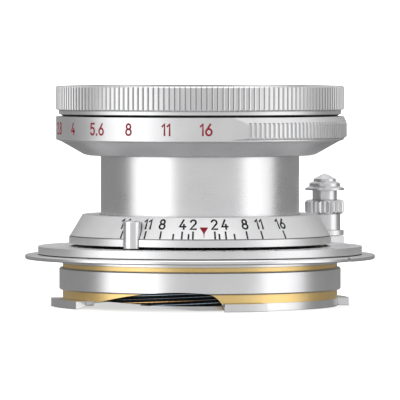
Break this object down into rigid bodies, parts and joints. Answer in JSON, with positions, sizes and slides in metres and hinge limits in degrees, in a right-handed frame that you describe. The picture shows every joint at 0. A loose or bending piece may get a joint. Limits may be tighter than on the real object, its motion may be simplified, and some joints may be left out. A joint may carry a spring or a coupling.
{
  "type": "collapsible camera lens",
  "caption": "Collapsible rangefinder camera lens with knurled front ring, turning aperture ring, draw barrel, focusing lever with lock knob, depth scale and bayonet mount.",
  "frame": {"origin": "centre of the lens axis at the rear faces of the bayonet claws, on which it stands", "axes": "+Z along the optical axis towards the front glass, -Y towards the depth-of-field index, +X to the right of it"},
  "size_m": [0.052, 0.052, 0.0327],
  "materials": {
    "satin_chrome": "satin chrome plating, finely turned",
    "bright_chrome": "polished chrome plating",
    "bare_brass": "turned bare brass",
    "black_metal": "matt black finish",
    "helicoid_black": "black oxide on a cut thread, greased",
    "steel": "ground steel",
    "grey_alloy": "satin anodised alloy",
    "blade_steel": "blued spring steel",
    "felt": "black felt",
    "coated_glass": "polished, with a violet coating"
  },
  "bodies": {
    "mount": {"mount_plate": "bright_chrome", "distance_flange": "satin_chrome", "mount_sleeve": "bare_brass", "lower_band": "bare_brass", "bayonet_land": "bright_chrome", "bayonet_claws": "bright_chrome", "plate_screws": "steel", "infinity_catch": "steel"},
    "coupling": {"coupling_ring": "grey_alloy", "coupling_key": "steel", "coupling_circlip": "steel"},
    "focus_unit": {"helicoid_sleeve": "helicoid_black", "depth_ring": "satin_chrome", "focus_stop_post": "bright_chrome", "focus_lever": "satin_chrome", "lever_screws": "steel", "knob_post": "bright_chrome", "knob_collar": "bright_chrome", "friction_washer": "bare_brass", "felt_seal": "felt", "lock_spring": "steel"},
    "button": {"lock_button": "bright_chrome", "lock_pin": "steel"},
    "lock_ring": {"lock_ring": "grey_alloy"},
    "barrel": {"barrel_tube": "satin_chrome", "guide_keys": "steel", "key_screws": "steel", "iris_housing": "black_metal", "iris_cover": "black_metal", "front_bevel_ring": "satin_chrome", "front_knurled_ring": "satin_chrome", "name_ring": "black_metal", "front_cell": "black_metal", "front_lock_ring": "black_metal", "front_glass": "coated_glass", "second_glass": "coated_glass", "rear_cell": "black_metal", "rear_spacer": "black_metal", "rear_pair_front": "coated_glass", "rear_pair_back": "coated_glass", "rear_glass": "coated_glass", "rear_lock_ring": "black_metal", "rear_baffle": "black_metal", "click_ball": "steel", "click_spring": "steel"},
    "aperture": {"aperture_ring": "satin_chrome", "iris_cam_ring": "grey_alloy", "drive_screw": "steel"},
    "blade_1": {"iris_blade_1": "blade_steel"},
    "blade_2": {"iris_blade_2": "blade_steel"},
    "blade_3": {"iris_blade_3": "blade_steel"},
    "blade_4": {"iris_blade_4": "blade_steel"},
    "blade_5": {"iris_blade_5": "blade_steel"},
    "blade_6": {"iris_blade_6": "blade_steel"},
    "blade_7": {"iris_blade_7": "blade_steel"},
    "blade_8": {"iris_blade_8": "blade_steel"}
  },
  "joints": [
    {"name": "focus_travel", "type": "slide", "parent": "mount", "child": "coupling", "axis": [0, 0, 1], "range_m": [0, 0.00263]},
    {"name": "focus_turn", "type": "hinge", "parent": "coupling", "child": "focus_unit", "pos_m": [0, 0, 0], "axis": [0, 0, 1], "range_deg": [0, 176]},
    {"name": "lock_press", "type": "slide", "parent": "focus_unit", "child": "button", "axis": [0, 0, -1], "range_m": [0, 0.001], "stiffness_N_per_m": 400, "springref_m": -0.0005, "deforming": ["lock_spring"]},
    {"name": "barrel_twist", "type": "hinge", "parent": "focus_unit", "child": "lock_ring", "pos_m": [0, 0, 0], "axis": [0, 0, 1], "range_deg": [-20, 0]},
    {"name": "barrel_collapse", "type": "slide", "parent": "lock_ring", "child": "barrel", "axis": [0, 0, 1], "range_m": [-0.0085, 0]},
    {"name": "aperture_turn", "type": "hinge", "parent": "barrel", "child": "aperture", "pos_m": [0, 0, 0], "axis": [0, 0, 1], "range_deg": [-94.2, 0]},
    {"name": "blade_1_turn", "type": "hinge", "parent": "barrel", "child": "blade_1", "pos_m": [0.0104, 0, 0.0236], "axis": [0, 0, 1], "range_deg": [-44.4, 0]},
    {"name": "blade_2_turn", "type": "hinge", "parent": "barrel", "child": "blade_2", "pos_m": [0.00735, 0.00735, 0.0236], "axis": [0, 0, 1], "range_deg": [-44.4, 0]},
    {"name": "blade_3_turn", "type": "hinge", "parent": "barrel", "child": "blade_3", "pos_m": [0, 0.0104, 0.0236], "axis": [0, 0, 1], "range_deg": [-44.4, 0]},
    {"name": "blade_4_turn", "type": "hinge", "parent": "barrel", "child": "blade_4", "pos_m": [-0.00735, 0.00735, 0.0236], "axis": [0, 0, 1], "range_deg": [-44.4, 0]},
    {"name": "blade_5_turn", "type": "hinge", "parent": "barrel", "child": "blade_5", "pos_m": [-0.0104, 0, 0.0236], "axis": [0, 0, 1], "range_deg": [-44.4, 0]},
    {"name": "blade_6_turn", "type": "hinge", "parent": "barrel", "child": "blade_6", "pos_m": [-0.00735, -0.00735, 0.0236], "axis": [0, 0, 1], "range_deg": [-44.4, 0]},
    {"name": "blade_7_turn", "type": "hinge", "parent": "barrel", "child": "blade_7", "pos_m": [0, -0.0104, 0.0236], "axis": [0, 0, 1], "range_deg": [-44.4, 0]},
    {"name": "blade_8_turn", "type": "hinge", "parent": "barrel", "child": "blade_8", "pos_m": [0.00735, -0.00735, 0.0236], "axis": [0, 0, 1], "range_deg": [-44.4, 0]}
  ],
  "couplings": [
    {"joint": "focus_turn", "follows": "focus_travel", "rad_per_m": 1167.9},
    {"joint": "blade_1_turn", "follows": "aperture_turn", "ratio": 0.47028},
    {"joint": "blade_2_turn", "follows": "aperture_turn", "ratio": 0.47028},
    {"joint": "blade_3_turn", "follows": "aperture_turn", "ratio": 0.47028},
    {"joint": "blade_4_turn", "follows": "aperture_turn", "ratio": 0.47028},
    {"joint": "blade_5_turn", "follows": "aperture_turn", "ratio": 0.47028},
    {"joint": "blade_6_turn", "follows": "aperture_turn", "ratio": 0.47028},
    {"joint": "blade_7_turn", "follows": "aperture_turn", "ratio": 0.47028},
    {"joint": "blade_8_turn", "follows": "aperture_turn", "ratio": 0.47028}
  ]
}
